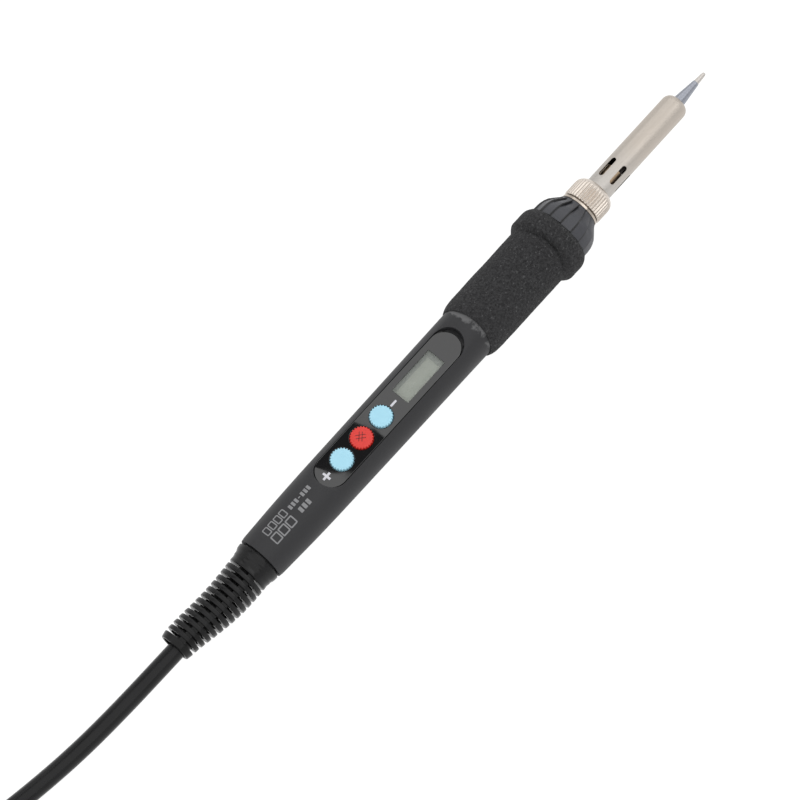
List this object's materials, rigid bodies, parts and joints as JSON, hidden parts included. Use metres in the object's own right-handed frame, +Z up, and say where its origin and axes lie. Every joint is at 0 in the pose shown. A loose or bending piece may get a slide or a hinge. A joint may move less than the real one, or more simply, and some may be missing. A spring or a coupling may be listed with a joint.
{
  "type": "soldering iron",
  "caption": "Hand-held soldering iron with a display and buttons in its handle, foam grip, slotted barrel, conical tip and mains cord tied in a hank.",
  "frame": {"origin": "on the ground below the middle of the iron, boot to tip, as it lies on its grip flange and the rear of its handle", "axes": "+X towards the tip, +Z up, buttons up; the axis of the iron rises 1.85 degrees towards the tip"},
  "size_m": [0.4255, 0.0521, 0.0399],
  "materials": {
    "handle_plastic": "moulded, fine matt texture",
    "grip_foam": "closed-cell foam, matt and speckled",
    "collar_plastic": "moulded heat-resistant plastic, satin",
    "panel_gloss": "polished black",
    "window_acrylic": "clear",
    "lcd": "matt polariser",
    "white_plastic": "moulded",
    "board_laminate": "green solder mask",
    "button_blue": "moulded, satin",
    "button_red": "moulded, satin",
    "switch_plastic": "moulded",
    "spring_steel": "bright",
    "chip_epoxy": "moulded epoxy",
    "capacitor_box": "moulded",
    "capacitor_sleeve": "shrink sleeve",
    "resistor_lacquer": "lacquered",
    "ceramic": "unglazed alumina",
    "tinted_steel": "heat-tinted",
    "tinned_wire": "bright",
    "nickel_bush": "nickel plated",
    "barrel_steel": "satin nickel",
    "nut_nickel": "nickel plated, knurled",
    "tip_chrome": "chromed copper, tinned end",
    "boot_rubber": "moulded, satin",
    "cord_jacket": "extruded, satin",
    "clamp_metal": "crimped",
    "live_wire": "extruded",
    "neutral_wire": "extruded",
    "earth_wire": "extruded",
    "tie_plastic": "flat plastic strip",
    "plug_plastic": "moulded, satin",
    "plug_brass": "bright"
  },
  "bodies": {
    "handle": {"handle_shell": "handle_plastic", "panel_bezel": "panel_gloss", "display_window": "window_acrylic", "lcd_glass": "lcd", "lcd_carrier": "white_plastic", "circuit_board": "board_laminate", "switch_bodies": "switch_plastic", "switch_domes": "spring_steel", "control_chip": "chip_epoxy", "power_triac": "chip_epoxy", "film_capacitor": "capacitor_box", "filter_capacitor": "capacitor_sleeve", "dropper_resistor": "resistor_lacquer", "safety_fuse": "ceramic", "heater_element": "ceramic", "heater_holder": "tinted_steel", "heater_leads": "tinned_wire", "threaded_bush": "nickel_bush", "front_collar": "collar_plastic", "grip_sleeve": "grip_foam", "cord_boot": "boot_rubber", "cord_retainer": "clamp_metal", "cord_entry": "cord_jacket", "live_core": "live_wire", "neutral_core": "neutral_wire", "earth_core": "earth_wire", "cord_lead": "cord_jacket", "cord_hank": "cord_jacket", "cord_tie": "tie_plastic", "cord_tail": "cord_jacket", "plug_body": "plug_plastic", "plug_blades": "plug_brass", "plug_earth_pin": "plug_brass"},
    "button_minus": {"button_minus": "button_blue", "plunger_minus": "switch_plastic"},
    "button_set": {"button_set": "button_red", "plunger_set": "switch_plastic"},
    "button_plus": {"button_plus": "button_blue", "plunger_plus": "switch_plastic"},
    "barrel": {"barrel": "barrel_steel"},
    "nut": {"barrel_nut": "nut_nickel"},
    "tip": {"soldering_tip": "tip_chrome"}
  },
  "joints": [
    {"name": "button_minus_press", "type": "slide", "parent": "handle", "child": "button_minus", "axis": [0.0323, 0, -0.9995], "range_m": [0, 0.0004], "stiffness_N_per_m": 3000},
    {"name": "button_set_press", "type": "slide", "parent": "handle", "child": "button_set", "axis": [0.0323, 0, -0.9995], "range_m": [0, 0.0004], "stiffness_N_per_m": 3000},
    {"name": "button_plus_press", "type": "slide", "parent": "handle", "child": "button_plus", "axis": [0.0323, 0, -0.9995], "range_m": [0, 0.0004], "stiffness_N_per_m": 3000},
    {"name": "barrel_pull", "type": "slide", "parent": "handle", "child": "barrel", "axis": [0.9995, 0, 0.0323], "range_m": [0, 0.12]},
    {"name": "nut_turn", "type": "hinge", "parent": "barrel", "child": "nut", "pos_m": [0.06445, 0, 0.01242], "axis": [0.9995, 0, 0.0323], "continuous": true},
    {"name": "tip_pull", "type": "slide", "parent": "handle", "child": "tip", "axis": [0.9995, 0, 0.0323], "range_m": [0, 0.06]}
  ],
  "couplings": [
    {"joint": "tip_pull", "follows": "barrel_pull", "ratio": 0.5}
  ]
}
